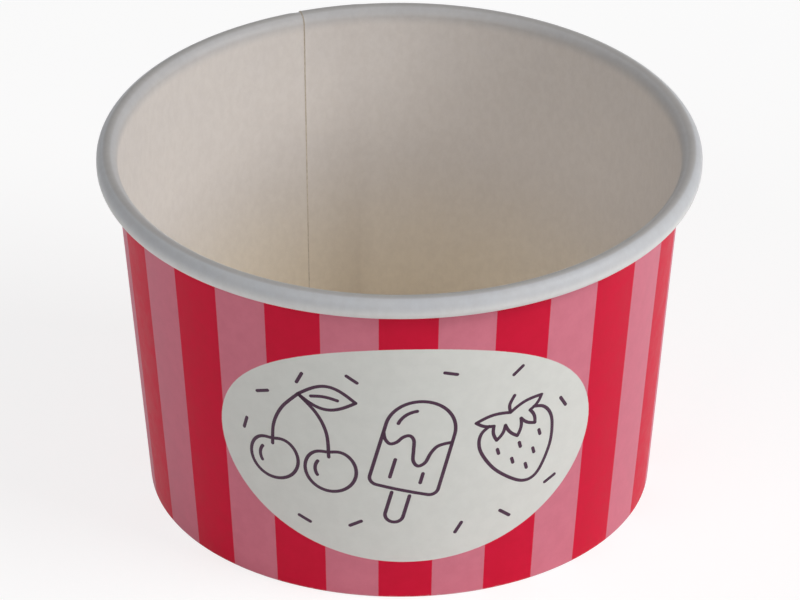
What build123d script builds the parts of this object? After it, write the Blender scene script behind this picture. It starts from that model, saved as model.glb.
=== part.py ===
from build123d import *
from build123d import SkipClean
import math
import os

# Paper ice cream cup, in millimetres and degrees. It is made of two pieces of coated paperboard:
# a side wall, wrapped from one flat blank with a lapped seam, its top edge rolled outwards into the rim
# and its bottom edge turned in, and a base disc whose turned-down skirt is sealed inside that turned edge.
# +Z is up, and the origin is the centre of the plane that the foot rests on. The front faces -Y.

# The cup as a whole
rim_diameter = 90.0  # over the outside of the rolled rim
foot_diameter = 74.8  # over the printed face, where it meets the resting plane
cup_height = 55.4
board = 0.35  # thickness of the paperboard, coating included

# The rolled rim
roll_width = 3.1
roll_height = 3.6
roll_gap = 0.08  # left between the roll's cut edge and the lapped wall

# The lapped side seam
seam_azimuth = -159.5  # of the cut edge seen inside, from the front, positive towards +X
lap_width = 8.0  # overlap of the blank's two ends, at the foot
climb_width = 1.6  # run at the foot over which the outer end climbs on to the inner one

# The base disc and the edge that holds it
base_height = 7.0  # underside of the disc, above the resting plane
base_bend = 0.45  # inside radius where the disc turns down into its skirt
hem_clearance = 2.0  # from the top of the wall's turned-in edge up to the disc
seal_gap = 0.02  # left on each side of the skirt, and under it

# Sizes that follow from those above
rim_radius = rim_diameter / 2
foot_radius = foot_diameter / 2
roll_radius = roll_width / 2
roll_drop = roll_height - roll_width  # straight part between the roll's two arcs
roll_center_r = rim_radius - roll_radius
roll_center_z = cup_height - roll_radius
hem_height = base_height - hem_clearance

# The printed face runs from the foot to a tangent of the roll's inside, which sets the taper.
center_distance = math.hypot(roll_center_r - foot_radius, roll_center_z)
taper = math.atan2(roll_center_r - foot_radius, roll_center_z) - math.asin((roll_radius - board) / center_distance)
slope = math.tan(taper)
across = 1 / math.cos(taper)  # level distance through a wall, for each millimetre of its thickness

# The roll ends where its cut edge comes within roll_gap of the wall's two layers at the lap.
roll_clearance = roll_radius + roll_drop * math.sin(taper) - 2 * board - roll_gap
roll_end = math.pi + taper - math.acos(roll_clearance / roll_radius)

seam_angle = seam_azimuth - 90  # the same place, measured from +X
lap_angle = math.degrees(lap_width / foot_radius)
climb_angle = math.degrees(climb_width / foot_radius)


def wall_radius(depth, z):
    """Radius of the wall at a height, at a depth into the board from its white face."""
    return foot_radius + z * slope + (depth - board) * across


def on_roll(radius, angle, drop=0):
    """Point of the roll's section, at a radius from the centre of its upper arc or, with a drop, its lower one."""
    return (roll_center_r + radius * math.cos(angle), roll_center_z - drop + radius * math.sin(angle))


def roll_arcs(depth):
    """The roll's line at a depth into the board: over the top, straight down outside, and in under it."""
    radius = roll_radius - depth
    start = math.pi - taper
    upper = ThreePointArc(on_roll(radius, start), on_roll(radius, start / 2), on_roll(radius, 0))
    side = Line(on_roll(radius, 0), on_roll(radius, 0, roll_drop))
    lower = ThreePointArc(
        on_roll(radius, 0, roll_drop), on_roll(radius, -roll_end / 2, roll_drop), on_roll(radius, -roll_end, roll_drop)
    )
    return [upper, side, lower]


def hem_radius(depth, z):
    """Radius of the turned-in edge at a height, at a depth into the board from its white face."""
    return wall_radius(-board - 2 * seal_gap - depth, z)


def wall_section(white, printed):
    """Section of the side wall, with its two faces at depths counted from the inner layer's white face.

    It runs up from the foot round the roll to its cut edge, back along the white face, and round the turned-in
    edge. The turned-in edge is one layer thick whatever the wall is.
    """
    outside_foot = (wall_radius(printed, board), board)
    outside_roll = roll_arcs(printed)
    inside_roll = roll_arcs(white)
    inside_foot = (wall_radius(white, board), board)
    hem_inside_foot = (hem_radius(0, board), board)
    hem_inside_top = (hem_radius(0, hem_height), hem_height)
    hem_outside_top = (hem_radius(board, hem_height), hem_height)
    hem_outside_foot = (hem_radius(board, board), board)
    toe = (outside_foot[0] - board, 0)
    heel = (hem_outside_foot[0] + board, 0)
    edges = [
        Line(outside_foot, outside_roll[0] @ 0),
        *outside_roll,
        Line(outside_roll[-1] @ 1, inside_roll[-1] @ 1),
        *inside_roll,
        Line(inside_roll[0] @ 0, inside_foot),
        Line(inside_foot, hem_inside_foot),
        Line(hem_inside_foot, hem_inside_top),
        Line(hem_inside_top, hem_outside_top),
        Line(hem_outside_top, hem_outside_foot),
        RadiusArc(hem_outside_foot, heel, board),
        Line(heel, toe),
        RadiusArc(toe, outside_foot, board),
    ]
    return Plane.XZ * make_face(edges)


def side_wall():
    """The wrapped blank: one layer nearly all round, a climb on to the inner end, and two layers at the lap."""
    one_layer = wall_section(0, board)
    outer_layer = wall_section(board, 2 * board)
    two_layers = wall_section(0, 2 * board)
    climb_end = Rotation(0, 0, seam_angle + climb_angle) * one_layer
    around = revolve(climb_end, Axis.Z, 360 - climb_angle - lap_angle)
    climb = loft([Rotation(0, 0, seam_angle) * outer_layer, climb_end], ruled=True)
    lap = revolve(Rotation(0, 0, seam_angle - lap_angle) * two_layers, Axis.Z, lap_angle)
    with SkipClean():
        return around + climb + lap


def base_disc():
    """The flat base with its skirt, which follows the wall's white face down into the turned-in edge."""
    top = base_height + board
    skirt_outside = -seal_gap
    skirt_inside = -seal_gap - board
    foot = board + seal_gap
    axis_edge = Line((0, base_height), (0, top))
    outline = Polyline(
        (0, top),
        (wall_radius(skirt_outside, top), top),
        (wall_radius(skirt_outside, foot), foot),
        (wall_radius(skirt_inside, foot), foot),
        (wall_radius(skirt_inside, base_height), base_height),
        (0, base_height),
    )
    section = make_face([axis_edge, *outline.edges()])
    outer_corner = section.vertices().sort_by_distance((wall_radius(skirt_outside, top), top))[0]
    section = fillet(outer_corner, base_bend + board)
    inner_corner = section.vertices().sort_by_distance((wall_radius(skirt_inside, base_height), base_height))[0]
    section = fillet(inner_corner, base_bend)
    return revolve(Plane.XZ * section, Axis.Z)


os.makedirs("parts", exist_ok=True)
for name, piece in (("side_wall", side_wall()), ("base_disc", base_disc())):
    export_step(piece, f"parts/{name}.step")
    print(name, "solids", len(piece.solids()), "volume", round(piece.volume, 1), "valid", piece.is_valid)
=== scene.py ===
"""Looks of a paper ice cream cup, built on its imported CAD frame.

The wrapped side wall and the base are rebuilt as fine meshes from the CAD part's own sizes, in metres and in
its frame: +Z is up, the foot rests on z = 0 and the printed panel faces -Y. An azimuth is counted in degrees
from the front, positive towards +X.
"""

import logging
import math
from dataclasses import dataclass
from enum import IntEnum
from typing import Any

import bpy
import numpy as np
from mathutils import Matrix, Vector


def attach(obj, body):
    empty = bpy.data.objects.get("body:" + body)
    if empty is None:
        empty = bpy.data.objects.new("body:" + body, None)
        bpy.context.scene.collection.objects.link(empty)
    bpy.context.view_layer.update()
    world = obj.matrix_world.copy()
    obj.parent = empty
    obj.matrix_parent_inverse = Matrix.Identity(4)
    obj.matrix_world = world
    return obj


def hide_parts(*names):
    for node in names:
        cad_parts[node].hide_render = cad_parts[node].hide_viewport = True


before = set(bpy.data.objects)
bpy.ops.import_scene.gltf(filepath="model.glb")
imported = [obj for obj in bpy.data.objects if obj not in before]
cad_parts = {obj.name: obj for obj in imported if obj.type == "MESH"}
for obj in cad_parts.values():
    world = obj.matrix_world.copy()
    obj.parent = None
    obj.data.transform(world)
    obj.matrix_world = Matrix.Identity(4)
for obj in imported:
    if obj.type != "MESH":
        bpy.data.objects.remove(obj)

Array = np.ndarray
Pair = tuple[float, float]
Tone = tuple[float, float, float, float]
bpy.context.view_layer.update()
LOG = logging.getLogger("paper_cup")
MM = 0.001

# The wall's two maps: one for the print, one a flat layout for textures.
PRINT_MAP = "Print"
BAKE_MAP = "OFBake"

# Folds sharper than this stay sharp, in radians.
SHARP_FOLD = math.radians(38)

# The span of a cloudy noise that is eased from 0 to 1.
NOISE_SPAN = (0.3, 0.7)

# Points on an arc, between two knots of a curve, and on a leaf's edge.
ARC_POINTS = 73
KNOT_POINTS = 16
LEAF_POINTS = 41


def tone(red: int, green: int, blue: int) -> Tone:
    """Turns a colour as seen on a screen, 0 to 255, into the linear colour that a shader takes.

    Args:
        red: Red, 0 to 255.
        green: Green, 0 to 255.
        blue: Blue, 0 to 255.

    Returns:
        Linear red, green and blue, and an alpha of 1.
    """
    seen = np.array([red, green, blue]) / 255
    linear = np.where(seen <= 0.04045, seen / 12.92, ((seen + 0.055) / 1.055) ** 2.4)
    return (*linear.tolist(), 1.0)


def ease(share: Array) -> Array:
    """Rises from 0 to 1 as share does, level at both ends: 3 t squared less 2 t cubed, t held in 0 to 1."""
    held = np.clip(share, 0, 1)
    return held * held * (3 - 2 * held)


def stand(azimuth: Array, radius: Array, height: Array) -> Array:
    """Places points round the cup's axis.

    Args:
        azimuth: Degrees from the front, positive towards +X.
        radius: Distance from the axis.
        height: Height above the resting plane.

    Returns:
        Points (radius sin a, -radius cos a, height) along a new last axis.
    """
    angle = np.radians(azimuth)
    return np.stack(np.broadcast_arrays(radius * np.sin(angle), -radius * np.cos(angle), height), -1)


@dataclass(frozen=True)
class Grain:
    """A cloudy noise: cells to the metre, octaves, what each octave keeps, and its factor on the height."""

    scale: float
    detail: float = 4.0
    rough: float = 0.6
    squeeze: float = 1.0


@dataclass(frozen=True)
class Sheen:
    """How a face takes the light: roughness, how far fibres vary it, gloss level, and the fibres' relief."""

    rough: float
    vary: float
    specular: float
    depth: float = 0.0
    strength: float = 0.8

    def roughness(self, fibre: "Val") -> "Val":
        """The roughness over fibres, a noise about 0.5."""
        return (fibre - 0.5) * self.vary + self.rough


class Shading:
    """A node tree, whose nodes come from their type, their settings and what goes into their sockets."""

    def __init__(self, tree: bpy.types.NodeTree) -> None:
        """Takes a node tree and clears it."""
        self.tree = tree
        self.tree.nodes.clear()

    @classmethod
    def of_material(cls, name: str) -> tuple["Shading", bpy.types.Material]:
        """Makes a material and the shading that fills its node tree.

        Args:
            name: The material's name.

        Returns:
            The shading, and the material.
        """
        material = bpy.data.materials.new(name)
        material.use_nodes = True
        return cls(material.node_tree), material

    def node(
        self, kind: str, settings: dict[str, Any] | None = None, inputs: dict[Any, Any] | None = None
    ) -> bpy.types.Node:
        """Adds a node.

        Args:
            kind: The node's type, without the words ShaderNode in front.
            settings: The node's own properties, set first.
            inputs: A number, a colour or a Val for each socket named or numbered.

        Returns:
            The node.
        """
        made = self.tree.nodes.new("ShaderNode" + kind)
        for key, value in (settings or {}).items():
            setattr(made, key, value)
        for key, value in (inputs or {}).items():
            if isinstance(value, Val):
                self.tree.links.new(value.socket, made.inputs[key])
            else:
                made.inputs[key].default_value = value
        return made

    def value(self, kind: str, settings: Any = None, inputs: Any = None, output: int | str = 0) -> "Val":
        """Adds a node in the same way, and wraps one of its outputs."""
        return Val(self, self.node(kind, settings, inputs).outputs[output])

    def math(self, operation: str, *terms: "Term", clamp: bool = False) -> "Val":
        """The result of a Math node on the terms, held in 0 to 1 if clamp is set."""
        settings = {"operation": operation, "use_clamp": clamp}
        return self.value("Math", settings, dict(enumerate(terms)))

    def blend(self, share: "Term", low: Any, high: Any) -> "Val":
        """Mixes two colours, all low at a share of 0 and all high at 1."""
        return self.value("Mix", {"data_type": "RGBA"}, {0: share, 6: low, 7: high}, 2)

    def step(self, value: "Term", low: float, high: float) -> "Val":
        """Eases from 0 to 1 as the value goes from low to high."""
        span = {"Value": value, "From Min": low, "From Max": high}
        return self.value("MapRange", {"interpolation_type": "SMOOTHSTEP"}, span)

    def place(self) -> "Val":
        """The place of a point in the object's own metres."""
        return self.value("TexCoord", output="Object")

    def parts(self, vector: "Val") -> list["Val"]:
        """The three parts of a vector."""
        return [Val(self, part) for part in self.node("SeparateXYZ", None, {0: vector}).outputs]

    def print_map(self) -> list["Val"]:
        """Turns from the front and share of the cup's height, from the wall's own map."""
        return self.parts(self.value("UVMap", {"uv_map": PRINT_MAP}))[:2]

    def noise(self, grain: Grain) -> "Val":
        """Cloudy noise about 0.5 on Object coordinates, whose height is multiplied by the grain's factor.

        Args:
            grain: The noise's settings.

        Returns:
            The noise.
        """
        stretch = {0: self.place(), 1: (1.0, 1.0, grain.squeeze)}
        place = self.value("VectorMath", {"operation": "MULTIPLY"}, stretch)
        inputs = {"Vector": place, "Scale": grain.scale, "Detail": grain.detail, "Roughness": grain.rough}
        return self.value("TexNoise", None, inputs)

    def surface(self, shader: "Val") -> None:
        """Ends the material in a shader."""
        self.node("OutputMaterial", None, {"Surface": shader})

    def board(self, colour: "Val", rough: "Val", sheen: Sheen, relief: "Val | None" = None) -> None:
        """Ends the material in a Principled shader.

        Args:
            colour: Base colour.
            rough: Roughness.
            sheen: Gloss level, and depth and strength of the relief.
            relief: What raises the surface, in shares of the depth.
        """
        inputs = {"Base Color": colour, "Roughness": rough, "Specular IOR Level": sheen.specular}
        if relief is not None:
            raised = {"Height": relief, "Distance": sheen.depth, "Strength": sheen.strength}
            inputs["Normal"] = self.value("Bump", None, raised)
        self.surface(self.value("BsdfPrincipled", None, inputs))


class Val:
    """A socket that takes part in arithmetic: each operator adds a Math node to its shading."""

    def __init__(self, shading: Shading, socket: bpy.types.NodeSocket) -> None:
        """Wraps a socket of a shading's node."""
        self.shading = shading
        self.socket = socket

    def __add__(self, other: "Term") -> "Val":
        """Adds."""
        return self.shading.math("ADD", self, other)

    def __radd__(self, other: "Term") -> "Val":
        """Adds, with the number first."""
        return self.shading.math("ADD", other, self)

    def __sub__(self, other: "Term") -> "Val":
        """Takes away."""
        return self.shading.math("SUBTRACT", self, other)

    def __rsub__(self, other: "Term") -> "Val":
        """Takes this away from a number."""
        return self.shading.math("SUBTRACT", other, self)

    def __mul__(self, other: "Term") -> "Val":
        """Multiplies."""
        return self.shading.math("MULTIPLY", self, other)

    def __rmul__(self, other: "Term") -> "Val":
        """Multiplies, with the number first."""
        return self.shading.math("MULTIPLY", other, self)

    def __truediv__(self, other: "Term") -> "Val":
        """Divides."""
        return self.shading.math("DIVIDE", self, other)

    def __rtruediv__(self, other: "Term") -> "Val":
        """Divides a number by this."""
        return self.shading.math("DIVIDE", other, self)

    def __abs__(self) -> "Val":
        """The value without its sign."""
        return self.shading.math("ABSOLUTE", self)

    def fraction(self) -> "Val":
        """What is left over the whole number below."""
        return self.shading.math("FRACT", self)

    def root(self) -> "Val":
        """The square root."""
        return self.shading.math("SQRT", self)

    def wave(self) -> "Val":
        """The sine of the value in radians."""
        return self.shading.math("SINE", self)

    def held(self) -> "Val":
        """The value held in 0 to 1."""
        return self.shading.math("ADD", self, 0.0, clamp=True)


Term = Val | float


class Face(IntEnum):
    """Which finish a face of the board wears: its number is the material's place on the mesh."""

    PRINTED = 0
    COATED = 1
    CUT = 2
    PRESSED = 3


@dataclass(frozen=True)
class CupForm:
    """Sizes that the folded board of both pieces shares, in metres and degrees."""

    rim_radius: float = 0.045
    foot_radius: float = 0.0374
    height: float = 0.0554
    board: float = 0.00035
    roll_width: float = 0.0031
    roll_height: float = 0.0036
    roll_gap: float = 0.00008
    seam_azimuth: float = -159.5
    lap_width: float = 0.008
    climb_width: float = 0.0016
    base_height: float = 0.007
    base_bend: float = 0.00045
    hem_clearance: float = 0.002
    seal_gap: float = 0.00002
    sway: float = 0.00009
    sway_waves: tuple[tuple[float, int, float], ...] = ((0.5, 2, 0.6), (0.3, 3, -1.1), (0.2, 5, 2.3))
    sway_rise: float = 0.5
    sway_fall: Pair = (0.7, 0.95)
    sway_rim: float = 0.33

    @property
    def roll_radius(self) -> float:
        """Half the roll's width."""
        return self.roll_width / 2

    @property
    def roll_drop(self) -> float:
        """Straight part between the roll's two arcs."""
        return self.roll_height - self.roll_width

    @property
    def roll_center(self) -> Pair:
        """Radius and height of the centre of the roll's upper arc."""
        return self.rim_radius - self.roll_radius, self.height - self.roll_radius

    @property
    def taper(self) -> float:
        """Lean of the wall in radians: from the foot to a tangent of the roll's inside."""
        across, up = self.roll_center[0] - self.foot_radius, self.roll_center[1]
        return math.atan2(across, up) - math.asin((self.roll_radius - self.board) / math.hypot(across, up))

    @property
    def roll_end(self) -> float:
        """Angle below level, in radians, at which the roll's cut edge comes near the wall."""
        clear = self.roll_radius + self.roll_drop * math.sin(self.taper) - 2 * self.board - self.roll_gap
        return math.pi + self.taper - math.acos(clear / self.roll_radius)

    @property
    def lap_angle(self) -> float:
        """Degrees of the lap."""
        return math.degrees(self.lap_width / self.foot_radius)

    @property
    def climb_angle(self) -> float:
        """Degrees over which the outer end climbs on to the inner one."""
        return math.degrees(self.climb_width / self.foot_radius)

    @property
    def hem_height(self) -> float:
        """Top of the turned-in edge."""
        return self.base_height - self.hem_clearance

    def wall_radius(self, depth: Array | float, height: Array | float) -> Array | float:
        """Radius of the leaning wall at a height, at a depth into the board from its white face."""
        foot = self.foot_radius + (depth - self.board) / math.cos(self.taper)
        return foot + height * math.tan(self.taper)

    def hem_radius(self, depth: float, height: float) -> float:
        """Radius of the turned-in edge at a height, at a depth into the board from its white face."""
        return self.wall_radius(-self.board - 2 * self.seal_gap - depth, height)

    def swayed(self, azimuth: Array, height: Array) -> Array:
        """How far the wrapped board stands out from a true cone.

        A sum of cosine waves round the cup, each with its share, number to the turn and phase: none at the
        base disc, most at mid-height and a third at the rim.

        Args:
            azimuth: Degrees from the front.
            height: Height above the resting plane.

        Returns:
            Change of radius.
        """
        turn = np.radians(azimuth)
        waves = sum(share * np.cos(count * turn + phase) for share, count, phase in self.sway_waves)
        grown = ease((height - self.base_height) / (self.sway_rise * self.height))
        first, last = self.sway_fall
        fallen = ease((height / self.height - first) / (last - first))
        return self.sway * waves * grown * (1 - (1 - self.sway_rim) * fallen)


def straight(start: tuple[Array, Array], end: tuple[Array, Array], rows: int) -> Array:
    """Rows of a section along a straight line, start + (end - start) i / rows, without its end.

    Args:
        start: Radius and height of the start, for every column.
        end: Radius and height of the end.
        rows: Number of rows.

    Returns:
        Radius and height, by column and row.
    """
    share = np.arange(rows) / rows
    return np.stack(start)[..., None] * (1 - share) + np.stack(end)[..., None] * share


def bend(center: tuple[Any, Any], radius: Array, first: float, last: float, rows: int) -> Array:
    """Rows of a section along an arc, centre + radius (cos a, sin a), a from first to last, without its end.

    Args:
        center: Radius and height of the arc's centre, one for all columns or one for each.
        radius: The arc's own radius, for every column.
        first: Angle at its start, in radians.
        last: Angle at its end.
        rows: Number of rows.

    Returns:
        Radius and height, by column and row.
    """
    angle = first + (last - first) * np.arange(rows) / rows
    across, up = (np.broadcast_to(part, radius.shape)[:, None] for part in center)
    size = radius[:, None]
    return np.stack([across + size * np.cos(angle), up + size * np.sin(angle)])


def grid_faces(columns: int, rows: int, around: bool, along: bool) -> Array:
    """Four-cornered faces of a grid whose points are numbered column after column.

    Args:
        columns: Number of columns.
        rows: Points in a column.
        around: Whether the last column joins the first.
        along: Whether a column's last point joins its first.

    Returns:
        Vertex numbers of each face, from its own point along the column and back down the next one.
    """
    across = np.arange(columns if around else columns - 1)
    column, row = np.meshgrid(across, np.arange(rows if along else rows - 1), indexing="ij")
    beside, above = (column + 1) % columns, (row + 1) % rows
    corners = [column * rows + row, column * rows + above, beside * rows + above, beside * rows + row]
    return np.stack(corners, -1).reshape(-1, 4)


def mesh_piece(
    name: str, points: Array, faces: list[list[int]], kinds: Array, materials: list[bpy.types.Material]
) -> bpy.types.Object:
    """Makes an object of smooth faces with sharp folds.

    Args:
        name: The object's name.
        points: Its vertices.
        faces: Vertex numbers of each face.
        kinds: Place of each face's material.
        materials: The materials.

    Returns:
        The object, linked to the scene.
    """
    mesh = bpy.data.meshes.new(name)
    mesh.from_pydata(points.tolist(), [], faces)
    for material in materials:
        mesh.materials.append(material)
    mesh.polygons.foreach_set("material_index", np.asarray(kinds, np.int32))
    mesh.polygons.foreach_set("use_smooth", np.ones(len(faces), bool))
    mesh.set_sharp_from_angle(angle=SHARP_FOLD)
    mesh.update()
    piece = bpy.data.objects.new(name, mesh)
    bpy.context.scene.collection.objects.link(piece)
    return piece


def add_map(piece: bpy.types.Object, name: str, corners: Array) -> None:
    """Gives a piece a UV map from the places of its faces' corners, in the faces' order."""
    layer = piece.data.uv_layers.new(name=name)
    layer.uv.foreach_set("vector", np.ascontiguousarray(corners, np.float32).ravel())


@dataclass(frozen=True)
class PrintedFinish:
    """Red and pink stripes round a pale oval field, printed on white board under a thin varnish."""

    red: Tone = tone(215, 18, 58)
    red_deep: Tone = tone(210, 15, 54)
    pink: Tone = tone(218, 126, 144)
    pink_deep: Tone = tone(213, 121, 139)
    pale: Tone = tone(226, 227, 222)
    pale_deep: Tone = tone(222, 223, 218)
    pairs: int = 15
    red_middle: float = 1.55
    twist: float = 0.69
    field_middle: Pair = (1.65, 0.0259)
    field_half: Pair = (42.8, 0.0193)
    ink_edge: float = 0.00007
    ragged: Grain = Grain(2600.0, 2.0, 0.5)
    ragged_depth: float = 0.00006
    cloud: Grain = Grain(420.0, rough=0.62)
    cloud_rougher: float = 0.08
    pale_rougher: float = 0.07
    fibre: Grain = Grain(1900.0, squeeze=0.45)
    rub_height: float = 0.0004
    rub_waver: float = 0.0006
    rub_share: float = 0.35
    sheen: Sheen = Sheen(rough=0.5, vary=0.1, specular=0.12, depth=0.000012)

    def inked(self, inside: Val) -> Val:
        """1 well inside a printed edge and 0 well outside, from the distance inside it in metres."""
        return (inside / self.ink_edge + 0.5).held()

    def material(self, form: CupForm) -> bpy.types.Material:
        """Builds the material, which reads the wall's own map: turns from the front and share of the height.

        Stripes are told by the distance from the middle of the nearest red one, and the field by an
        ellipse's equation, both with an edge as soft as the ink's. The print is rubbed a little at the foot.

        Args:
            form: The cup's sizes.

        Returns:
            The material.
        """
        shade, made = Shading.of_material("printed_board")
        turns, share = shade.print_map()
        height = share * form.height
        ragged = (shade.noise(self.ragged) - 0.5) * self.ragged_depth
        below_roll = share * (form.height / (form.height - form.roll_height))
        azimuth = turns * 360.0 - (below_roll - 0.5) * self.twist
        degree = (height * math.tan(form.taper) + form.foot_radius) * math.radians(1)
        period = 360.0 / self.pairs
        offset = abs(((azimuth - self.red_middle) / period + 0.5).fraction() - 0.5) * period
        is_red = self.inked((period / 4 - offset) * degree + ragged)
        side = (azimuth - self.field_middle[0]) / self.field_half[0]
        rise = (height - self.field_middle[1]) / self.field_half[1]
        reach = (side * side + rise * rise).root()
        is_pale = self.inked((1.0 - reach) * self.field_half[1] + ragged)
        cloud = shade.step(shade.noise(self.cloud), *NOISE_SPAN)
        fibre = shade.noise(self.fibre)
        red = shade.blend(cloud, self.red_deep, self.red)
        pink = shade.blend(cloud, self.pink_deep, self.pink)
        pale = shade.blend(cloud, self.pale_deep, self.pale)
        printed = shade.blend(is_pale, shade.blend(is_red, pink, red), pale)
        wavering = height + (fibre - 0.5) * self.rub_waver
        colour = shade.blend(shade.step(wavering, self.rub_height, 0.0) * self.rub_share, printed, self.pale)
        rough = self.sheen.roughness(fibre) + is_pale * self.pale_rougher
        shade.board(colour, rough + (cloud - 0.5) * self.cloud_rougher, self.sheen, fibre)
        return made


@dataclass(frozen=True)
class CoatedFinish:
    """The blank's white face: a thin film over board, creamy inside the cup, with painted shade and bounce
    light.
    """

    lip: Tone = tone(230, 230, 229)
    # Painted shade: the roll's upper face, its inner side and, darkest, its top are greyer than the lip's
    # white.
    roll: Tone = tone(201, 203, 207)
    fold_shade: Tone = tone(194, 193, 194)
    crest_shade: Tone = tone(183, 181, 180)
    inside: Tone = tone(227, 221, 217)
    # Painted warm bounce light: the low wall and the base are lighter and creamier; random mottling takes
    # the same tone.
    warm_bounce_and_mottle: Tone = tone(248, 237, 219)
    # Painted shade over the lap; random fibre clumps take the same dark tone.
    shadow: Tone = tone(128, 108, 92)
    low_from: float = 0.6
    low_wander: float = 0.006
    # How deep the painted shade over the lap is, high up and low down.
    lap_shade_top: float = 0.05
    lap_shade_low: float = 0.15
    lap_edge: Pair = (-0.35, 0.15)
    lap_fade: float = 0.7
    lip_span: Pair = (-0.8, 0.4)
    fold_span: Pair = (-0.85, 0.8)
    ridge_span: Pair = (-0.1, 0.1)
    crest_span: Pair = (0.88, 1.0)
    crest_rougher: float = 0.4
    cloud: Grain = Grain(160.0)
    cloud_rougher: float = 0.12
    mottle_span: Pair = (0.25, 0.75)
    mottle: float = 0.05
    clump: Grain = Grain(850.0, rough=0.7, squeeze=0.7)
    clump_share: float = 0.07
    fibre: Grain = Grain(1700.0, squeeze=0.45)
    sheen: Sheen = Sheen(rough=0.42, vary=0.1, specular=0.2, depth=0.00001, strength=0.7)

    def material(self, form: CupForm) -> bpy.types.Material:
        """Builds the material on Object coordinates, from the low wall up to the roll.

        Painted warm bounce light makes the low wall lighter and creamier. Over the lap, told by the
        wall's own map, painted shade darkens the wall as if the double layer let less light through: it
        is darkest at the outer end's edge and deeper low down. The roll's spans are heights and radii
        from its centre, in shares of its radius. Painted cool grey shade covers the roll above the
        board's white at its lip, deeper on its inner side and deepest on its top, which is also matt.

        Args:
            form: The cup's sizes.

        Returns:
            The material.
        """
        shade, made = Shading.of_material("coated_board")
        across, deep, height = shade.parts(shade.place())
        radius = (across * across + deep * deep).root()
        cloud = shade.noise(self.cloud)
        fibre = shade.noise(self.fibre)
        clump = shade.step(shade.noise(self.clump), *NOISE_SPAN)
        # Painted warm bounce light, growing towards the bottom over a wandering border.
        wandering = height + (cloud - 0.5) * self.low_wander
        is_low = shade.step(wandering, self.low_from * form.height, form.base_height)
        turns, _ = shade.print_map()
        # Painted shade over the lap, darkest at the outer end's edge and deeper low down.
        lap = (turns * 360.0 - (form.seam_azimuth + 360 - form.lap_angle)) / form.lap_angle
        is_lap = shade.step(lap, *self.lap_edge) * (1.0 - shade.step(lap, 0.0, 1.0) * self.lap_fade)
        dark = is_lap * (is_low * (self.lap_shade_low - self.lap_shade_top) + self.lap_shade_top)
        wall = shade.blend(dark, shade.blend(is_low, self.inside, self.warm_bounce_and_mottle), self.shadow)
        rise = (height - form.roll_center[1]) / form.roll_radius
        run = (radius - form.roll_center[0]) / form.roll_radius
        # Painted shade on the roll: greyer above the lip, deeper on its inner side, deepest on its top.
        outer = shade.blend(shade.step(rise, *self.lip_span), self.lip, self.roll)
        inner = shade.blend(shade.step(rise, *self.fold_span), wall, self.fold_shade)
        rolled = shade.blend(shade.step(run, *self.ridge_span), inner, outer)
        is_crest = shade.step(rise, *self.crest_span)
        crest_shaded = shade.blend(is_crest, rolled, self.crest_shade)
        mottled = shade.blend(shade.step(cloud, *self.mottle_span) * self.mottle, crest_shaded, self.warm_bounce_and_mottle)
        colour = shade.blend(clump * self.clump_share, mottled, self.shadow)
        rough = self.sheen.roughness(fibre) + is_crest * self.crest_rougher
        shade.board(colour, rough + (cloud - 0.5) * self.cloud_rougher, self.sheen, fibre)
        return made


@dataclass(frozen=True)
class CutFinish:
    """A cut edge of the board: bare fibres, darker and rougher than either face."""

    pale: Tone = tone(222, 212, 198)
    dark: Tone = tone(196, 183, 166)
    fibre: Grain = Grain(5200.0, 3.0, squeeze=0.3)
    sheen: Sheen = Sheen(rough=0.8, vary=0.2, specular=0.25, depth=0.00002)

    def material(self) -> bpy.types.Material:
        """Builds the material: fine fibres that run along the board.

        Returns:
            The material.
        """
        shade, made = Shading.of_material("cut_board")
        fibre = shade.noise(self.fibre)
        colour = shade.blend(shade.step(fibre, *NOISE_SPAN), self.dark, self.pale)
        shade.board(colour, self.sheen.roughness(fibre), self.sheen, fibre)
        return made


@dataclass(frozen=True)
class PressedFinish:
    """The turned-in edge seen from below: bare board, pressed into fine upright ribs where it was sealed."""

    board: Tone = tone(206, 202, 194)
    board_low: Tone = tone(188, 182, 172)
    ribs: int = 150
    rib_share: float = 0.6
    fibre: Grain = Grain(1800.0)
    fibre_relief: float = 0.3
    sheen: Sheen = Sheen(rough=0.62, vary=0.2, specular=0.3, depth=0.00005)

    def material(self) -> bpy.types.Material:
        """Builds the material: ribs follow the sine of the azimuth times their number.

        Returns:
            The material.
        """
        shade, made = Shading.of_material("pressed_board")
        turns, _ = shade.print_map()
        fibre = shade.noise(self.fibre)
        rib = (turns * (2 * math.pi * self.ribs)).wave() * 0.5 + 0.5
        raised = (rib * self.rib_share + fibre * (1 - self.rib_share)).held()
        colour = shade.blend(raised, self.board_low, self.board)
        shade.board(colour, self.sheen.roughness(fibre), self.sheen, rib + fibre * self.fibre_relief)
        return made


@dataclass(frozen=True)
class InkFinish:
    """Dark plum line ink under the same varnish as the stripes."""

    ink: Tone = tone(70, 38, 62)
    ink_thin: Tone = tone(92, 58, 82)
    thin_span: Pair = (0.5, 0.85)
    fibre: Grain = Grain(2400.0, 3.0)
    sheen: Sheen = Sheen(rough=0.5, vary=0.15, specular=0.35)

    def material(self) -> bpy.types.Material:
        """Builds the material: the ink thins here and there over the board's fibres.

        Returns:
            The material.
        """
        shade, made = Shading.of_material("line_ink")
        fibre = shade.noise(self.fibre)
        colour = shade.blend(shade.step(fibre, *self.thin_span), self.ink, self.ink_thin)
        shade.board(colour, self.sheen.roughness(fibre), self.sheen)
        return made


@dataclass(frozen=True)
class Strip:
    """A strip of the wall's section: its rows, the face it wears, and its low and high in the bake map."""

    rows: int
    face: Face
    band: Pair


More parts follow.
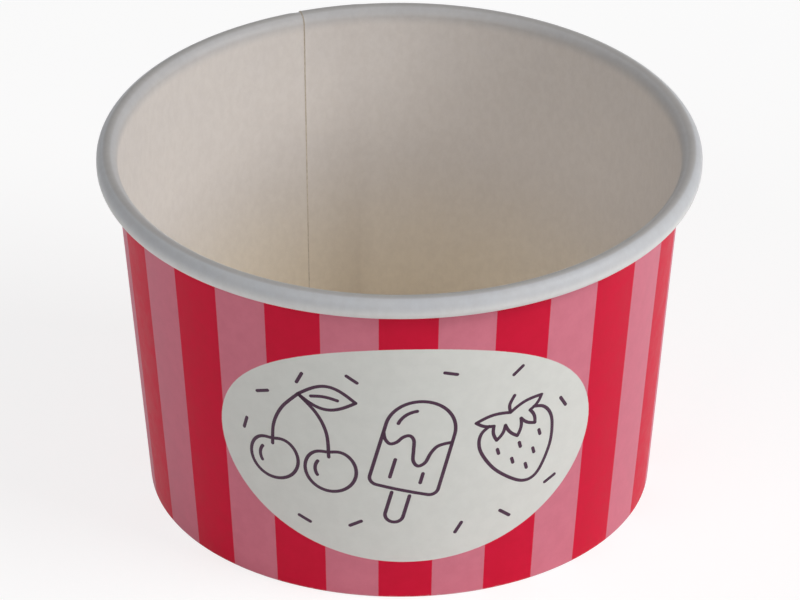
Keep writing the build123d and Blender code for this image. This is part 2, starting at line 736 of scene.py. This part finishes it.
@dataclass
class SideWall:
    """The wrapped blank: wall, lapped seam, rolled rim and turned-in foot, as one closed skin."""

    form: CupForm
    columns: int = 440
    climb_columns: int = 14
    lap_columns: int = 18
    burr_columns: int = 8
    roll_side_rows: int = 4
    curl_side_rows: int = 2
    cut_run: float = 0.00003
    seam_run: float = 0.00015
    press: float = 0.00004
    step_foot: float = 0.05
    step_rim: float = 0.22
    press_width: float = 0.0012
    burr: float = 0.00004
    burr_width: float = 0.0005
    lean: float = 1.5
    lean_middle: float = 0.8
    lean_reach: float = 40.0
    slip: float = 0.0005
    bake_start: float = 71.0
    bake_drop: float = 0.3615
    bake_margin: float = 0.002

    def strips(self) -> dict[str, Strip]:
        """Strips of the section in their order, from the foot up the printed face and back down inside.

        Returns:
            The strips by name.
        """
        return {
            "outside": Strip(36, Face.PRINTED, (0.640, 0.997)),
            "curl_inside": Strip(18, Face.PRINTED, (0.021, 0.027)),
            "curl_edge": Strip(2, Face.CUT, (0.016, 0.019)),
            "roll": Strip(44, Face.COATED, (0.068, 0.112)),
            "inside": Strip(36, Face.COATED, (0.116, 0.274)),
            "fold_inside": Strip(3, Face.COATED, (0.012, 0.014)),
            "hem_inside": Strip(4, Face.COATED, (0.007, 0.010)),
            "hem_edge": Strip(2, Face.CUT, (0.002, 0.005)),
            "hem_outside": Strip(6, Face.PRESSED, (0.047, 0.065)),
            "foot": Strip(12, Face.PRINTED, (0.030, 0.045)),
        }

    def sweep(self) -> tuple[Array, Array, Array]:
        """Columns of the wall, from the inner end's cut edge once round to it.

        The outer end eases off the inner one over the climb, one layer runs nearly all round, and at the lap
        the printed face stands a layer further out. The seal pressed the inner end's step down, most at the
        foot. Towards the rim it also pressed that layer in a little over the outer end, and the knife left a
        low burr along the inner end.

        Returns:
            Degrees from the cut edge, depths of the white face at the foot and at the rim, and depths of the
            printed face, all counted from the inner layer's white face.
        """
        form = self.form
        runs = (self.cut_run, self.seam_run, self.burr_width)
        cut, seam, burr = (math.degrees(run / form.foot_radius) for run in runs)
        lap_start = 360 - form.lap_angle
        turned = np.concatenate(
            [
                np.linspace(0, form.climb_angle, self.climb_columns, endpoint=False),
                np.linspace(form.climb_angle, lap_start - cut, self.columns),
                np.linspace(lap_start, 360 - burr, self.lap_columns, endpoint=False),
                np.linspace(360 - burr, 360 - seam, self.burr_columns),
            ]
        )
        climb = ease(1 - turned / form.climb_angle)
        lapped = turned >= lap_start
        near_lap = (turned - lap_start) / math.degrees(self.press_width / form.foot_radius) + 0.5
        pressed = self.press * ease(near_lap) + self.burr * ease((turned - 360) / burr + 1)
        foot, rim = (form.board * climb * step for step in (self.step_foot, self.step_rim))
        white = np.stack([foot, rim - pressed])
        printed = form.board * (1 + climb + lapped)
        return turned, white, printed

    def section(self, white: Array, printed: Array) -> Array:
        """The section's closed line for every column: straight runs and arcs, strip after strip.

        Args:
            white: Depths of the white face at the foot and at the rim.
            printed: Depths of the printed face.

        Returns:
            Radius and height, by column and row.
        """
        form, rows = self.form, {name: strip.rows for name, strip in self.strips().items()}
        board, hem = form.board, form.hem_height
        center = form.roll_center
        low_center = (center[0], center[1] - form.roll_drop)
        lean, end = math.pi - form.taper, -form.roll_end
        hidden, shown = form.roll_radius - printed, form.roll_radius - white[1]
        level = np.full_like(printed, board)

        def on_roll(radius: Array, angle: float, middle: Pair) -> tuple[Array, Array]:
            """Point of the roll at an angle from one of its centres."""
            return middle[0] + radius * math.cos(angle), middle[1] + radius * math.sin(angle)

        def fixed(radius: float, height: float) -> tuple[Array, Array]:
            """The same point for every column."""
            return np.full_like(printed, radius), np.full_like(printed, height)

        outer_foot = (form.wall_radius(printed, board), level)
        inner_foot = (form.wall_radius(white[0], board), level)
        hem_in = fixed(form.hem_radius(0, board), board)
        hem_out = fixed(form.hem_radius(board, board), board)
        hem_in_top = fixed(form.hem_radius(0, hem), hem)
        hem_out_top = fixed(form.hem_radius(board, hem), hem)
        toe = (outer_foot[0] - board, np.zeros_like(printed))
        heel = (hem_out[0] + board, np.zeros_like(printed))
        third = rows["foot"] // 3
        curl = (rows["curl_inside"] - self.curl_side_rows) // 2
        roll = (rows["roll"] - self.roll_side_rows) // 2
        curl_end, roll_end = on_roll(hidden, end, low_center), on_roll(shown, end, low_center)
        curl_side = on_roll(hidden, 0, center), on_roll(hidden, 0, low_center)
        roll_side = on_roll(shown, 0, low_center), on_roll(shown, 0, center)
        runs = [
            straight(outer_foot, on_roll(hidden, lean, center), rows["outside"]),
            bend(center, hidden, lean, 0, curl),
            straight(*curl_side, self.curl_side_rows),
            bend(low_center, hidden, 0, end, curl),
            straight(curl_end, roll_end, rows["curl_edge"]),
            bend(low_center, shown, end, 0, roll),
            straight(*roll_side, self.roll_side_rows),
            bend(center, shown, 0, lean, roll),
            straight(on_roll(shown, lean, center), inner_foot, rows["inside"]),
            straight(inner_foot, hem_in, rows["fold_inside"]),
            straight(hem_in, hem_in_top, rows["hem_inside"]),
            straight(hem_in_top, hem_out_top, rows["hem_edge"]),
            straight(hem_out_top, hem_out, rows["hem_outside"]),
            bend((heel[0], level), level, math.pi, 1.5 * math.pi, third),
            straight(heel, toe, third),
            bend((toe[0], level), level, 1.5 * math.pi, 2 * math.pi, third),
        ]
        return np.concatenate(runs, axis=-1)

    def build(self, materials: list[bpy.types.Material]) -> bpy.types.Object:
        """Carries the section round the axis and closes it both ways.

        The blank was wrapped a little askew, so the seam leans: degrees that fall evenly from the foot to
        the rim, and ease away on both sides of the seam.

        Args:
            materials: The finishes, in the order of Face.

        Returns:
            The side wall.
        """
        turned, white, printed = self.sweep()
        radius, height = self.section(white, printed)
        near_seam = ease(1 - np.minimum(turned, 360 - turned) / self.lean_reach)[:, None]
        askew = self.lean * (self.lean_middle - height / self.form.height) * near_seam
        azimuth = (self.form.seam_azimuth + turned)[:, None] + askew
        points = stand(azimuth, radius + self.form.swayed(azimuth, height), height).reshape(-1, 3)
        columns, rows = radius.shape
        faces = grid_faces(columns, rows, True, True)[:, [0, 3, 2, 1]]
        kinds = self.kinds(columns, rows).ravel()
        piece = mesh_piece("side_wall_board", points, faces.tolist(), kinds, materials)
        self.map_faces(piece, turned, height)
        return piece

    def kinds(self, columns: int, rows: int) -> Array:
        """Finish of every face: by its strip, and cut board where the blank's two ends step.

        Args:
            columns: Columns of the wall.
            rows: Rows of its section.

        Returns:
            Numbers of Face, by column and row.
        """
        strips = self.strips()
        by_row = np.concatenate([np.full(strip.rows, int(strip.face)) for strip in strips.values()])
        kinds = np.broadcast_to(by_row, (columns, rows)).copy()
        kinds[-1, by_row == Face.COATED] = Face.CUT
        outer_end = columns - self.lap_columns - self.burr_columns - 1
        kinds[outer_end, : strips["outside"].rows] = Face.CUT
        return kinds

    def map_faces(self, piece: bpy.types.Object, turned: Array, height: Array) -> None:
        """Gives the wall its two maps: turns and height for the print, and a flat layout for textures.

        The layout has a band for each strip. The printed face has two, each half way round, so it is finest.

        Args:
            piece: The side wall.
            turned: Degrees from the cut edge, by column.
            height: Height, by column and row.
        """
        left, right = turned[:, None], np.append(turned[1:], 360.0)[:, None]
        middle = (left + right) / 2
        slipped = self.slip / self.form.foot_radius / (2 * math.pi)
        slip = np.where(middle > 360 - self.form.lap_angle, slipped, 0)
        corner_turned = np.broadcast_to(np.stack([left, right, right, left], -1), (*height.shape, 4))
        around = (self.form.seam_azimuth + corner_turned) / 360 + slip[..., None]
        share = height / self.form.height
        beside, above = np.roll(share, -1, 0), np.roll(share, -1, 1)
        up = np.stack([share, beside, np.roll(above, -1, 0), above], -1)
        add_map(piece, PRINT_MAP, np.stack([around, up], -1))

        strips = self.strips()
        edges = [np.linspace(*strip.band, strip.rows + 1) for strip in strips.values()]
        outside = np.arange(height.shape[1]) < strips["outside"].rows
        is_back = (middle < self.bake_start) | (middle >= self.bake_start + 180)
        drop = np.where(outside & is_back, self.bake_drop, 0.0)
        low = np.concatenate([edge[:-1] for edge in edges]) - drop
        high = np.concatenate([edge[1:] for edge in edges]) - drop
        wrapped = corner_turned + np.where(middle < self.bake_start, 360.0, 0.0)[..., None]
        halves = wrapped - self.bake_start - np.where(is_back, 180.0, 0.0)[..., None]
        flat = np.where(outside[:, None], halves / 180, corner_turned / 360)
        flat = flat * (1 - 2 * self.bake_margin) + self.bake_margin
        add_map(piece, BAKE_MAP, np.stack([flat, np.stack([low, low, high, high], -1)], -1))


@dataclass
class BaseDisc:
    """The base: a paper disc, dished a little, with a pleated bend into the skirt that the foot holds."""

    form: CupForm
    columns: int = 432
    disc_rows: int = 26
    outer_bend_rows: int = 8
    inner_bend_rows: int = 6
    skirt_rows: int = 6
    edge_rows: int = 2
    dish: float = 0.0003
    dish_reach: float = 0.97
    pleats: int = 72
    pleat_depth: float = 0.00005
    pleat_start: float = 0.86
    pleat_low: float = 0.004
    pleat_fade: float = 0.002

    def section(self) -> Array:
        """The section from the middle of the upper face out, down the skirt and back underneath.

        Returns:
            Radius and height of each row.
        """
        form = self.form
        top, foot = form.base_height + form.board, form.board + form.seal_gap
        lean, upright = form.taper, math.pi / 2
        outer, inner = -form.seal_gap, -form.seal_gap - form.board
        big, small = form.base_bend + form.board, form.base_bend
        middle_z = form.base_height - form.base_bend
        middle_r = form.wall_radius(inner, middle_z) - small / math.cos(lean)

        def at(radius: float, height: float) -> tuple[Array, Array]:
            """A point as arrays of one column."""
            return np.array([radius]), np.array([height])

        def on_bend(size: float, angle: float) -> tuple[Array, Array]:
            """Point of the bend at an angle from its centre."""
            return at(middle_r + size * math.cos(angle), middle_z + size * math.sin(angle))

        center = at(middle_r, middle_z)
        skirt_out = at(form.wall_radius(outer, foot), foot)
        skirt_in = at(form.wall_radius(inner, foot), foot)
        under = at(0, form.base_height)
        runs = [
            straight(at(0, top), on_bend(big, upright), self.disc_rows),
            bend(center, np.array([big]), upright, -lean, self.outer_bend_rows),
            straight(on_bend(big, -lean), skirt_out, self.skirt_rows),
            straight(skirt_out, skirt_in, self.edge_rows),
            straight(skirt_in, on_bend(small, -lean), self.skirt_rows),
            bend(center, np.array([small]), -lean, upright, self.inner_bend_rows),
            straight(on_bend(small, upright), under, self.disc_rows),
            np.stack(under)[..., None],
        ]
        return np.concatenate(runs, axis=-1)[:, 0, :]

    def build(self, materials: list[bpy.types.Material]) -> bpy.types.Object:
        """Turns the section round the axis, with a fan of triangles at each pole.

        The disc sinks by dish (1 - share of the radius squared), and the bend rises and falls with the
        cosine of the azimuth times the number of pleats.

        Args:
            materials: The finishes, in the order of Face.

        Returns:
            The base.
        """
        radius, height = self.section()
        share = radius / radius.max()
        azimuth = np.arange(self.columns)[:, None] * 360 / self.columns
        near = np.clip((share - self.pleat_start) / (1 - self.pleat_start), 0, 1)
        near = near * ease((height - self.pleat_low) / self.pleat_fade) * (height < self.form.base_height)
        pleat = self.pleat_depth * near * np.cos(np.radians(azimuth) * self.pleats)
        bowl = 1 - np.clip(share / self.dish_reach, 0, 1) ** 2
        sunk = self.dish * bowl * (height > self.form.hem_height)
        points = stand(azimuth, radius[None, :], height - sunk + pleat)
        rows = radius.size - 2
        ring = points[:, 1:-1].reshape(-1, 3)
        poles = points[0, [0, -1]]
        quads = grid_faces(self.columns, rows, True, False)
        this = np.arange(self.columns) * rows
        after = np.roll(this, -1)
        upper = np.stack([np.full_like(this, len(ring)), this, after], -1)
        lower = np.stack([np.full_like(this, len(ring) + 1), after + rows - 1, this + rows - 1], -1)
        faces = quads.tolist() + upper.tolist() + lower.tolist()
        kinds = np.full(len(faces), int(Face.COATED))
        return mesh_piece("base_board", np.concatenate([ring, poles]), faces, kinds, materials)


@dataclass(frozen=True)
class Stroke:
    """A drawn line in the panel's flat plane, in metres from its middle: points, and whether it closes."""

    points: Array
    closed: bool = False

    def placed(self, across: float, up: float, turn: float) -> "Stroke":
        """Turns the stroke and moves it.

        Args:
            across: Millimetres to the right.
            up: Millimetres upwards.
            turn: Degrees against the clock.

        Returns:
            The stroke in its place.
        """
        angle = math.radians(turn)
        spin = np.array([[math.cos(angle), math.sin(angle)], [-math.sin(angle), math.cos(angle)]])
        return Stroke(self.points @ spin + (across * MM, up * MM), self.closed)


def arc(across: float, up: float, wide: float, tall: float, first: float, last: float) -> Stroke:
    """An arc of an ellipse, in millimetres and degrees, closed if it goes all the way round.

    Args:
        across: Its centre, to the right.
        up: Its centre, upwards.
        wide: Half its width.
        tall: Half its height.
        first: Angle at its start.
        last: Angle at its end.

    Returns:
        The stroke.
    """
    whole = abs(last - first) >= 360
    angle = np.radians(np.linspace(first, last, ARC_POINTS, endpoint=not whole))
    line = np.stack([across + wide * np.cos(angle), up + tall * np.sin(angle)], -1)
    return Stroke(line * MM, whole)


def corners(*knots: Pair) -> Stroke:
    """A line of straight runs between its knots, in millimetres."""
    return Stroke(np.asarray(knots, float) * MM)


def joined(*strokes: Stroke, closed: bool = False) -> Stroke:
    """Strokes drawn on from one to the next without lifting the pen."""
    return Stroke(np.concatenate([stroke.points for stroke in strokes]), closed)


def curve(*knots: Pair) -> Stroke:
    """A smooth line through its knots, in millimetres.

    Between two knots it is the cubic whose slope at each knot is half the step between its neighbours.

    Args:
        knots: The points it passes through.

    Returns:
        The stroke.
    """
    knot = np.asarray(knots, float)
    padded = np.concatenate([knot[:1], knot, knot[-1:]])
    before, here, there, beyond = padded[:-3], padded[1:-2], padded[2:-1], padded[3:]
    share = np.linspace(0, 1, KNOT_POINTS, endpoint=False)[:, None, None]
    line = 0.5 * (
        2 * here
        + (there - before) * share
        + (2 * before - 5 * here + 4 * there - beyond) * share**2
        + (3 * here - before - 3 * there + beyond) * share**3
    )
    drawn = line.transpose(1, 0, 2).reshape(-1, 2)
    return Stroke(np.concatenate([drawn, knot[-1:]]) * MM)


def leaf_edge(stem: Pair, tip: Pair, bulge: float) -> Stroke:
    """An edge of a leaf, in millimetres: the straight from stem to tip, bowed by bulge times a half sine.

    Args:
        stem: Where the leaf starts.
        tip: Where it ends.
        bulge: How far it bows to the left of that straight.

    Returns:
        The stroke.
    """
    start, reach = np.asarray(stem, float), np.subtract(tip, stem)
    share = np.linspace(0, 1, LEAF_POINTS)[:, None]
    side = np.array([-reach[1], reach[0]]) / np.hypot(*reach)
    return Stroke((start + reach * share + side * bulge * np.sin(np.pi * share)) * MM)


@dataclass(frozen=True)
class Drawing:
    """A small line drawing: where it stands in the panel, in millimetres, and how far it is turned."""

    name: str
    across: float
    up: float
    turn: float

    def lines(self) -> list[Stroke]:
        """The drawing's strokes about its own middle."""
        raise NotImplementedError

    def strokes(self) -> list[Stroke]:
        """The drawing's strokes in the panel's plane."""
        return [line.placed(self.across, self.up, self.turn) for line in self.lines()]


@dataclass(frozen=True)
class Lolly(Drawing):
    """An ice lolly: a round-topped slab with a dripping dip and two grooves, on a flat stick."""

    half_wide: float = 5.2
    half_tall: float = 8.2
    corner: float = 1.3
    stick: float = 6.0
    half_stick: float = 1.35
    stick_gap: float = 0.75
    shine_gap: float = 1.7
    groove_foot: float = 1.9
    grooves: tuple[Pair, ...] = ((-2.3, 5.2), (2.3, 3.6))

    def lines(self) -> list[Stroke]:
        """Slab, dip, grooves, stick and a shine.

        Returns:
            The strokes.
        """
        half, tall, corner, thin = self.half_wide, self.half_tall, self.corner, self.half_stick
        slab = joined(
            arc(0, tall - half, half, half, 180, 0),
            arc(half - corner, corner - tall, corner, corner, 0, -90),
            arc(corner - half, corner - tall, corner, corner, -90, -180),
            closed=True,
        )
        left = ((-half, 1.5), (-4.7, 0.3), (-3.8, -0.4), (-2.9, 0.1), (-2.2, 1.2), (-1.3, 1.7), (-0.5, 1.0))
        drip = ((-0.1, -0.8), (0.3, -2.6), (1.2, -3.4), (2.1, -2.6), (2.5, -0.8))
        dip = curve(*left, *drip, (3.1, 0.5), (4.1, 1.2), (half, 1.6))
        grooves = [corners((x, self.groove_foot - tall), (x, top - tall)) for x, top in self.grooves]
        neck = -self.stick_gap - tall
        round_end = arc(0, thin - tall - self.stick, thin, thin, 180, 360)
        stick = joined(corners((-thin, neck)), round_end, corners((thin, neck)))
        inset = half - self.shine_gap
        shine = arc(0, tall - half, inset, inset, 172, 112)
        return [slab, dip, *grooves, stick, shine]


@dataclass(frozen=True)
class Cherries(Drawing):
    """A pair of cherries that hang from one leaf."""

    size: float = 3.9
    notch: float = 0.17
    notch_width: float = 26.0
    shine: float = 0.6
    stalk_sink: float = 0.9
    first: Pair = (-4.3, -3.6)
    second: Pair = (4.5, -5.0)
    top: Pair = (0.9, 8.4)
    tip: Pair = (9.6, 7.2)

    def fruit(self, across: float, up: float) -> Stroke:
        """A cherry: a circle whose radius is less near its top, by the notch times a bell of the angle.

        Args:
            across: Its centre, to the right.
            up: Its centre, upwards.

        Returns:
            The stroke.
        """
        angle = np.arange(0.0, 360.0, 5.0)
        radius = self.size * (1 - self.notch * np.exp(-(((angle - 90) / self.notch_width) ** 2)))
        turned = np.radians(angle)
        line = np.stack([across + radius * np.cos(turned), up + radius * np.sin(turned)], -1)
        return Stroke(line * MM, True)

    def lines(self) -> list[Stroke]:
        """Two fruits with their shines, two stalks and a leaf with its vein.

        Returns:
            The strokes.
        """
        places = (self.first, self.second)
        dent = self.size * (1 - self.notch) - self.stalk_sink
        inset = self.size * self.shine
        fruits = [self.fruit(x, y) for x, y in places]
        shines = [arc(x, y, inset, inset, 140, 205) for x, y in places]
        starts = [(x, y + dent) for x, y in places]
        stalks = [
            curve(starts[0], (-3.7, 2.4), (-2.0, 5.6), self.top),
            curve(starts[1], (4.6, 1.6), (3.4, 5.2), self.top),
        ]
        leaf = [leaf_edge(self.top, self.tip, 2.3), leaf_edge(self.top, self.tip, -1.9)]
        vein = leaf_edge((2.9, 8.2), (6.9, 7.6), 0.3)
        return [*fruits, *shines, *stalks, *leaf, vein]


@dataclass(frozen=True)
class Strawberry(Drawing):
    """A strawberry with a leafy crown and seeds."""

    half: tuple[Pair, ...] = (
        *((0.9, -7.5), (2.7, -6.0), (4.8, -3.0)),
        *((5.9, 0.3), (5.9, 2.5), (5.1, 4.1), (3.7, 4.9)),
    )
    tips: tuple[Pair, ...] = ((-5.4, 6.3), (-3.2, 1.9), (0.0, 1.1), (3.2, 1.9), (5.4, 6.3))
    dips: tuple[Pair, ...] = ((-3.0, 4.6), (-1.3, 3.9), (1.3, 3.9), (3.0, 4.6))
    brim: Pair = (0.0, 5.8)
    leaf_bulge: float = -0.3
    brim_bulge: float = 0.55
    seeds: tuple[Pair, ...] = (
        *((-3.5, -0.2), (0.0, -0.7), (3.5, -0.2)),
        *((-1.8, -2.9), (1.8, -2.9), (0.0, -5.0)),
    )
    half_seed: float = 0.4

    def lines(self) -> list[Stroke]:
        """Fruit, crown, stalk and seeds.

        Returns:
            The strokes.
        """
        fruit = curve(*((-x, y) for x, y in self.half[::-1]), *self.half)
        edge = [*(knot for pair in zip(self.tips, self.dips) for knot in pair), self.tips[-1]]
        crown = [leaf_edge(start, end, self.leaf_bulge) for start, end in zip(edge[:-1], edge[1:])]
        ends = ((self.tips[0], self.brim), (self.brim, self.tips[-1]))
        brim = [leaf_edge(start, end, self.brim_bulge) for start, end in ends]
        stalk = curve(self.brim, (0.2, 7.2), (1.3, 8.5))
        seeds = [corners((x, y + self.half_seed), (x, y - self.half_seed)) for x, y in self.seeds]
        return [fruit, *crown, *brim, stalk, *seeds]


@dataclass(frozen=True)
class Sprinkles(Drawing):
    """Short dashes scattered between the drawings, each with its place in millimetres and its turn."""

    length: float = 1.9
    dashes: tuple[tuple[float, float, float], ...] = (
        (-25.2, 1.8, 75),
        (-22.2, 8.6, 20),
        (-8.2, 13.6, -35),
        (-7.6, -12.6, 30),
        (-15.4, -13.0, -25),
        (7.6, -13.6, 60),
        (6.4, 14.6, -15),
        (24.6, 5.0, -60),
        (22.4, -8.4, 25),
        (14.8, -12.4, -40),
        (-16.2, 12.6, 65),
        (16.8, 13.2, 40),
    )

    def lines(self) -> list[Stroke]:
        """The dashes."""
        dash = corners((-self.length / 2, 0), (self.length / 2, 0))
        return [dash.placed(*spot) for spot in self.dashes]


@dataclass
class InkDrawings:
    """The line drawings on the panel, each a film of ink that follows the printed face."""

    form: CupForm
    middle: Pair
    drawings: tuple[Drawing, ...] = (
        Cherries("cherries_ink", -16.4, 1.2, 6.0),
        Lolly("lolly_ink", 1.2, 1.8, -14.0),
        Strawberry("strawberry_ink", 17.0, 0.2, 14.0),
        Sprinkles("sprinkles_ink", 0.0, 0.0, 0.0),
    )
    width: float = 0.00056
    rise: float = 0.000014
    sink: float = 0.00001
    bevel: float = 0.9
    pace: float = 0.00016
    least_steps: int = 6
    cap_steps: int = 6
    cap_angle: float = 86.4

    def line_of(self, stroke: Stroke) -> tuple[Array, Array]:
        """A stroke's middle line at even steps, carried on past its ends, with half its width at each step.

        Past an open end the half width follows a circle, which rounds it.

        Args:
            stroke: The stroke.

        Returns:
            Points, and half widths.
        """
        line = np.concatenate([stroke.points, stroke.points[:1]]) if stroke.closed else stroke.points
        run = np.concatenate([[0], np.cumsum(np.hypot(*np.diff(line, axis=0).T))])
        count = max(int(run[-1] / self.pace), self.least_steps)
        along = np.linspace(0, run[-1], count, endpoint=not stroke.closed)
        points = np.stack([np.interp(along, run, line[:, 0]), np.interp(along, run, line[:, 1])], -1)
        half = np.full(len(points), self.width / 2)
        if stroke.closed:
            return points, half
        angle = np.linspace(0, math.radians(self.cap_angle), self.cap_steps + 1)[1:]
        beyond, shrunk = np.sin(angle) * self.width / 2, np.cos(angle) * self.width / 2
        head = points[0] - points[1]
        tail = points[-1] - points[-2]
        before = points[0] + beyond[::-1, None] * head / np.hypot(*head)
        after = points[-1] + beyond[:, None] * tail / np.hypot(*tail)
        return np.concatenate([before, points, after]), np.concatenate([shrunk[::-1], half, shrunk])

    def film(self, stroke: Stroke, first: int) -> tuple[Array, list[list[int]]]:
        """A closed film of ink along a stroke: a flat section with bevelled edges carried along its line.

        Args:
            stroke: The stroke.
            first: Number of the film's first vertex in its piece.

        Returns:
            Points on the cup, and faces.
        """
        points, half = self.line_of(stroke)
        around = np.roll(points, -1, 0) - np.roll(points, 1, 0)
        ahead = around if stroke.closed else np.gradient(points, axis=0)
        ahead /= np.hypot(*ahead.T)[:, None]
        beside = np.stack([ahead[:, 1], -ahead[:, 0]], -1)
        share = np.array([-1, -1, -self.bevel, 0, self.bevel, 1, 1])
        low, top = self.rise / 2, self.rise
        lift = np.array([-self.sink, low, top, top, top, low, -self.sink])
        flat = points[:, None] + beside[:, None] * (half[:, None] * share)[..., None]
        steps, sides = flat.shape[:2]
        wrapped = self.on_cup(flat, np.broadcast_to(lift, (steps, sides)))
        faces = (grid_faces(steps, sides, stroke.closed, True) + first).tolist()
        if not stroke.closed:
            end = np.arange(sides) + first
            faces += [end[::-1].tolist(), (end + (steps - 1) * sides).tolist()]
        return wrapped.reshape(-1, 3), faces

    def on_cup(self, flat: Array, lift: Array) -> Array:
        """Wraps points of the panel's plane round the printed face: across is length along its circle.

        Args:
            flat: Points in the plane, from the panel's middle.
            lift: How far each stands out from the face.

        Returns:
            Points on the cup.
        """
        lean = self.form.taper
        height = self.middle[1] + flat[..., 1] * math.cos(lean)
        radius = self.form.wall_radius(self.form.board, height)
        azimuth = self.middle[0] + np.degrees(flat[..., 0] / radius)
        out = radius + self.form.swayed(azimuth, height) + lift * math.cos(lean)
        return stand(azimuth, out, height - lift * math.sin(lean))

    def build(self, ink: bpy.types.Material) -> list[bpy.types.Object]:
        """Makes one piece for each drawing.

        Args:
            ink: The ink's finish.

        Returns:
            The pieces.
        """
        pieces = []
        for drawing in self.drawings:
            points: list[Array] = []
            faces: list[list[int]] = []
            for stroke in drawing.strokes():
                film, skin = self.film(stroke, sum(map(len, points)))
                points.append(film)
                faces += skin
            kinds = np.zeros(len(faces))
            pieces.append(mesh_piece(drawing.name, np.concatenate(points), faces, kinds, [ink]))
        return pieces


@dataclass(frozen=True)
class Lamp:
    """A soft white lamp: its side of the cup and rise above level in degrees, its size and its power."""

    name: str
    azimuth: float
    rise: float
    wide: float
    tall: float
    power: float


@dataclass
class Studio:
    """A pale floor, soft lamps and the camera."""

    floor_half: float = 4.0
    floor_plain: Tone = tone(250, 250, 250)
    floor_shown: Tone = tone(150, 150, 150)
    floor_glow: float = 0.78
    white: Tone = tone(255, 255, 255)
    ambient: float = 0.18
    lamp_distance: float = 1.8
    aim: float = 0.03
    lamps: tuple[Lamp, ...] = (
        Lamp("window_lamp", 70.0, 32.0, 1.1, 1.1, 22.0),
        Lamp("fill_lamp", -37.0, 32.0, 1.1, 1.1, 7.2),
        Lamp("back_strip", 180.0, 0.5, 0.7, 0.06, 4.5),
    )
    distance: float = 1.71
    elevation: float = 31.505
    pitch: float = 30.669
    focal: float = 11339.3
    principal: float = 399.5
    image_width: int = 800
    sensor: float = 36.0
    clip: Pair = (0.05, 20.0)

    def seen(self, shade: Shading) -> Val:
        """1 for a ray that shows the background: from the camera, a gloss or through glass.

        Args:
            shade: The shading that the value goes into.

        Returns:
            The value.
        """
        path = shade.node("LightPath").outputs
        names = ("Is Camera Ray", "Is Glossy Ray", "Is Transmission Ray")
        camera, glossy, through = (Val(shade, path[name]) for name in names)
        return (camera + glossy + through).held()

    def build_floor(self) -> bpy.types.Object:
        """Lays the floor, which shows white and keeps the cup's shadow.

        Returns:
            The floor.
        """
        half = self.floor_half
        edges = np.array([(-half, -half, 0), (half, -half, 0), (half, half, 0), (-half, half, 0)])
        shade, material = Shading.of_material("studio_floor")
        plain = shade.value("BsdfDiffuse", None, {"Color": self.floor_plain})
        bright = shade.value("BsdfDiffuse", None, {"Color": self.floor_shown})
        glow = shade.value("Emission", None, {"Color": self.white, "Strength": self.floor_glow})
        lit = shade.value("AddShader", None, {0: bright, 1: glow})
        shade.surface(shade.value("MixShader", None, {0: self.seen(shade), 1: plain, 2: lit}))
        floor = mesh_piece("studio_floor", edges, [[0, 1, 2, 3]], np.zeros(1), [material])
        return floor

    def build_light(self) -> None:
        """Fills the room with an even light, white where it is seen, and sets the lamps."""
        world = bpy.data.worlds.new("studio_room")
        bpy.context.scene.world = world
        world.use_nodes = True
        shade = Shading(world.node_tree)
        strength = self.seen(shade) * (1 - self.ambient) + self.ambient
        room = shade.value("Background", None, {"Color": self.white, "Strength": strength})
        shade.node("OutputWorld", None, {"Surface": room})
        for lamp in self.lamps:
            self.hang(lamp)

    def hang(self, lamp: Lamp) -> None:
        """Hangs a lamp so that it faces the cup.

        Args:
            lamp: The lamp.
        """
        data = bpy.data.lights.new(lamp.name, "AREA")
        data.shape = "RECTANGLE"
        data.size, data.size_y, data.energy = lamp.wide, lamp.tall, lamp.power
        rise, reach = math.radians(lamp.rise), self.lamp_distance
        toward = Vector(stand(lamp.azimuth, reach * math.cos(rise), reach * math.sin(rise)).tolist())
        hung = bpy.data.objects.new(lamp.name, data)
        hung.location = toward + Vector((0, 0, self.aim))
        hung.rotation_mode = "QUATERNION"
        hung.rotation_quaternion = (-toward).to_track_quat("-Z", "Y")
        bpy.context.scene.collection.objects.link(hung)

    def build_camera(self) -> None:
        """Sets the camera where the photograph's was: its distance, angles and focal length in pixels."""
        data = bpy.data.cameras.new("camera")
        data.sensor_width = self.sensor
        data.lens = self.sensor * self.focal / self.image_width
        data.shift_x = (self.image_width / 2 - self.principal) / self.image_width
        data.clip_start, data.clip_end = self.clip
        camera = bpy.data.objects.new("camera", data)
        rise = math.radians(self.elevation)
        camera.location = (0.0, -self.distance * math.cos(rise), self.distance * math.sin(rise))
        camera.rotation_euler = (math.radians(90 - self.pitch), 0.0, 0.0)
        bpy.context.scene.collection.objects.link(camera)
        bpy.context.scene.camera = camera


def settle(piece: bpy.types.Object, slot: str, *nodes: str) -> None:
    """Joins a piece to the part's one body, hides the CAD nodes it stands for, and reports it with its slot.

    Args:
        piece: The piece.
        slot: The record's material slot.
        nodes: The CAD nodes that it replaces.
    """
    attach(piece, "root")
    if nodes:
        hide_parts(*nodes)
    count = len(piece.data.polygons)
    LOG.info("%s: %d faces, slot %s, in place of %s", piece.name, count, slot, list(nodes))


def main() -> None:
    """Builds the cup, its stage and the camera."""
    logging.basicConfig(level=logging.INFO, format="%(name)s: %(message)s")
    bpy.context.scene.view_settings.view_transform = "Standard"
    form = CupForm()
    printed = PrintedFinish()
    faces = [
        printed.material(form),
        CoatedFinish().material(form),
        CutFinish().material(),
        PressedFinish().material(),
    ]
    settle(SideWall(form).build(faces), "printed_board", "side_wall")
    settle(BaseDisc(form).build(faces), "plain_board", "base_disc")
    for piece in InkDrawings(form, printed.field_middle).build(InkFinish().material()):
        settle(piece, "printed_board")
    studio = Studio()
    studio.build_floor()
    studio.build_light()
    studio.build_camera()


if __name__ == "__main__":
    main()
